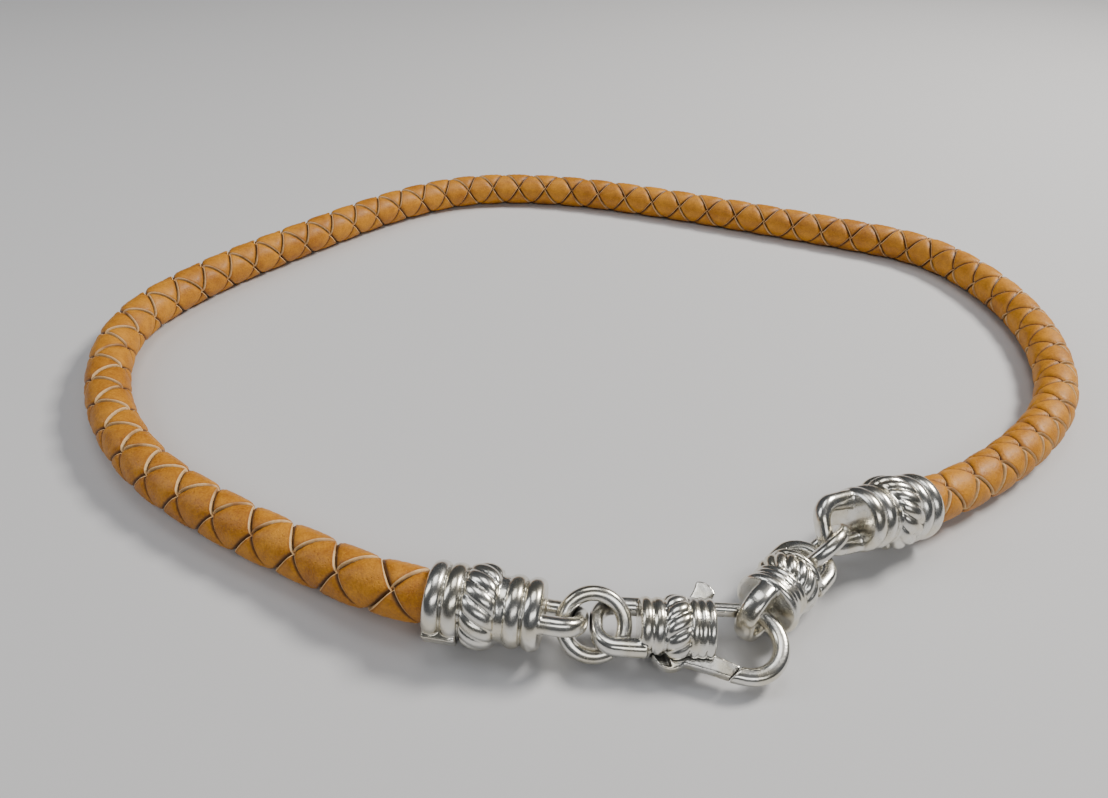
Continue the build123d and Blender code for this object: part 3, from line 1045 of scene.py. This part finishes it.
class NECKLACE_OT_stage(bpy.types.Operator):
    """Adds the camera, the pale floor and the soft lights"""

    bl_idname = "necklace.stage"
    bl_label = "Stage"

    def execute(self, context):
        stage = context.scene.necklace_stage
        self.add_camera(context, stage)
        self.add_floor(stage)
        self.add_lights(context, stage)
        return {"FINISHED"}

    def add_camera(self, context, stage):
        lens = bpy.data.cameras.new("camera")
        lens.sensor_width = SENSOR_WIDTH
        lens.lens = stage.lens
        lens.clip_start = NEAREST_SEEN
        camera = bpy.data.objects.new("camera", lens)
        turn = Matrix.Rotation(math.pi / 2 - stage.pitch, 4, "X") @ Matrix.Rotation(stage.roll, 4, "Z")
        camera.matrix_world = Matrix.Translation(stage.place) @ turn
        context.scene.collection.objects.link(camera)
        context.scene.camera = camera

    def add_floor(self, stage):
        mesh = bmesh.new()
        bmesh.ops.create_grid(mesh, x_segments=1, y_segments=1, size=FLOOR_SIZE)
        data = bpy.data.meshes.new("stage_floor")
        mesh.to_mesh(data)
        mesh.free()
        data.materials.append(floor_paint(stage))
        linked("stage_floor", data)

    def add_lights(self, context, stage):
        for name, place, size, share, color in LIGHTS:
            light = bpy.data.lights.new(name, "AREA")
            light.shape = "RECTANGLE"
            light.size, light.size_y = size
            light.energy = stage.light * share
            light.color = color
            lamp = bpy.data.objects.new(name, light)
            lamp.location = place
            lamp.rotation_euler = (-Vector(place)).to_track_quat("-Z", "Y").to_euler()
            context.scene.collection.objects.link(lamp)
        world = bpy.data.worlds.new("soft_room")
        world.use_nodes = True
        background = world.node_tree.nodes["Background"]
        background.inputs["Color"].default_value = ROOM_COLOR
        background.inputs["Strength"].default_value = ROOM_STRENGTH
        context.scene.world = world


class NECKLACE_OT_cord(bpy.types.Operator):
    """Braids the leather cord along its route"""

    bl_idname = "necklace.cord"
    bl_label = "Braided cord"

    def execute(self, context):
        braid = context.scene.necklace_braid
        points = route_points()
        line = CordLine(points)
        mesh = braid_mesh(line, braid)
        core_rings(mesh, line, CORD_DIAMETER / 2 - CORE_DEPTH, CORE_STEPS)
        paints = [leather_paint(braid), cut_paint(braid), core_shade_paint()]
        data = finished_mesh("braided_cord", mesh)
        piece = add_piece("braided_cord", data, paints, ROOT_BODY, "leather_cord")
        return {"FINISHED"}


class NECKLACE_OT_silver(bpy.types.Operator):
    """Gives the caps, rings, clasp and lever their polished silver"""

    bl_idname = "necklace.silver"
    bl_label = "Silver fittings"

    def execute(self, context):
        silver = context.scene.necklace_silver
        polished = silver_paint(silver)
        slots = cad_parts["lever_pin"].data.materials
        slots.clear()
        slots.append(polished)
        forms = {
            "left_end_cap": cap_form(silver, "left_end_cap", *LEFT_EYE),
            "right_end_cap": cap_form(silver, "right_end_cap", *RIGHT_EYE),
            "connector": connector_form(silver),
            "clasp_body": clasp_form(silver),
            "jump_ring": ring_form("jump_ring"),
            "right_link": ring_form("right_link"),
        }
        for name, data in forms.items():
            silver_piece("cast_" + name, data, polished, ROOT_BODY, name)
        silver_piece("cast_lever", lever_form(silver), polished, LEVER_BODY, "clasp_lever")
        return {"FINISHED"}


class NECKLACE_PT_panel(bpy.types.Panel):
    """Lists the necklace's operators and settings"""

    bl_label = "Necklace"
    bl_idname = "NECKLACE_PT_panel"
    bl_space_type = "VIEW_3D"
    bl_region_type = "UI"
    bl_category = "Necklace"

    def draw(self, context):
        layout = self.layout
        for operator in OPERATORS:
            layout.operator(operator.bl_idname)
        scene = context.scene
        for group in (scene.necklace_braid, scene.necklace_silver, scene.necklace_stage):
            box = layout.box()
            for name in group.__annotations__:
                box.prop(group, name)


OPERATORS = (NECKLACE_OT_stage, NECKLACE_OT_cord, NECKLACE_OT_silver)
CLASSES = (BraidSettings, SilverSettings, StageSettings, *OPERATORS, NECKLACE_PT_panel)


def register():
    for kind in CLASSES:
        bpy.utils.register_class(kind)
    bpy.types.Scene.necklace_braid = PointerProperty(type=BraidSettings)
    bpy.types.Scene.necklace_silver = PointerProperty(type=SilverSettings)
    bpy.types.Scene.necklace_stage = PointerProperty(type=StageSettings)


def unregister():
    del bpy.types.Scene.necklace_stage
    del bpy.types.Scene.necklace_silver
    del bpy.types.Scene.necklace_braid
    for kind in reversed(CLASSES):
        bpy.utils.unregister_class(kind)


def main():
    register()
    bpy.ops.necklace.stage()
    bpy.ops.necklace.cord()
    bpy.ops.necklace.silver()


if __name__ == "__main__":
    main()
